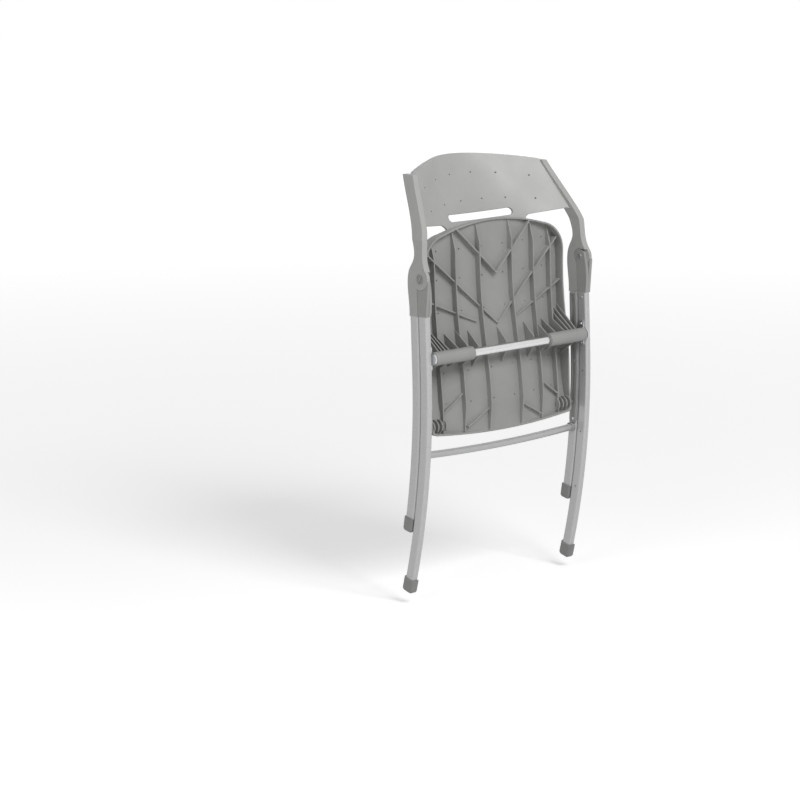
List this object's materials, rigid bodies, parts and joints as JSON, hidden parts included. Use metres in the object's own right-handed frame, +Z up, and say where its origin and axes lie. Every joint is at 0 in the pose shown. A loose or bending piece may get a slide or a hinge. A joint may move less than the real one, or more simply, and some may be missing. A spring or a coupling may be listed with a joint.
{
  "type": "folding nesting chair",
  "caption": "Folding armless chair with hollow curved legs, wrap-round back panel with grip slot and rail arches, and a ribbed flip-up seat, stored folded and hanging.",
  "frame": {"origin": "midway between the flat tops of the two rail arches under the back panel, where the folded chair hangs on its rails", "axes": "+Z up along the hanging folded chair, +Y to the back of the chair, +X across it; the chair faces -Y. When it stands open, the same frame leans forward by about 8 degrees about X"},
  "size_m": [0.505, 0.217, 0.9388],
  "materials": {
    "shell_plastic": "moulded polypropylene, fine spark-eroded texture",
    "seat_plastic": "moulded polypropylene, satin underside",
    "foot_plastic": "moulded nylon, satin",
    "leg_aluminium": "powder coated silver, satin",
    "tube_aluminium": "bright brushed, anodised",
    "track_plastic": "moulded acetal, satin",
    "steel": "zinc plated"
  },
  "bodies": {
    "back_frame": {"back_shell": "shell_plastic", "rear_leg_left": "leg_aluminium", "rear_leg_right": "leg_aluminium", "rear_foot_left": "foot_plastic", "rear_foot_right": "foot_plastic", "seat_track_left": "track_plastic", "seat_track_right": "track_plastic", "track_rivets": "steel", "rear_stretcher": "tube_aluminium", "stretcher_end_left": "track_plastic", "stretcher_end_right": "track_plastic", "hinge_pin_left": "steel", "hinge_pin_right": "steel", "pivot_cap_left": "shell_plastic", "pivot_cap_right": "shell_plastic"},
    "front_legs": {"front_arm_left": "shell_plastic", "front_arm_right": "shell_plastic", "front_leg_left": "leg_aluminium", "front_leg_right": "leg_aluminium", "front_foot_left": "foot_plastic", "front_foot_right": "foot_plastic", "arm_screws": "steel", "tube_bracket_left": "steel", "tube_bracket_right": "steel", "bracket_screws": "steel", "seat_tube": "tube_aluminium"},
    "seat": {"seat_shell": "seat_plastic", "slide_pin_left": "steel", "slide_pin_right": "steel"}
  },
  "joints": [
    {"name": "leg_fold", "type": "hinge", "parent": "back_frame", "child": "front_legs", "pos_m": [0, -0.05, -0.102], "axis": [-1, 0, 0], "range_deg": [0, 49.1]},
    {"name": "seat_fold", "type": "hinge", "parent": "front_legs", "child": "seat", "pos_m": [0, -0.072, -0.276], "axis": [1, 0, 0], "range_deg": [0, 128.6]}
  ],
  "couplings": [
    {"joint": "seat_fold", "follows": "leg_fold", "ratio": 2.6153}
  ]
}
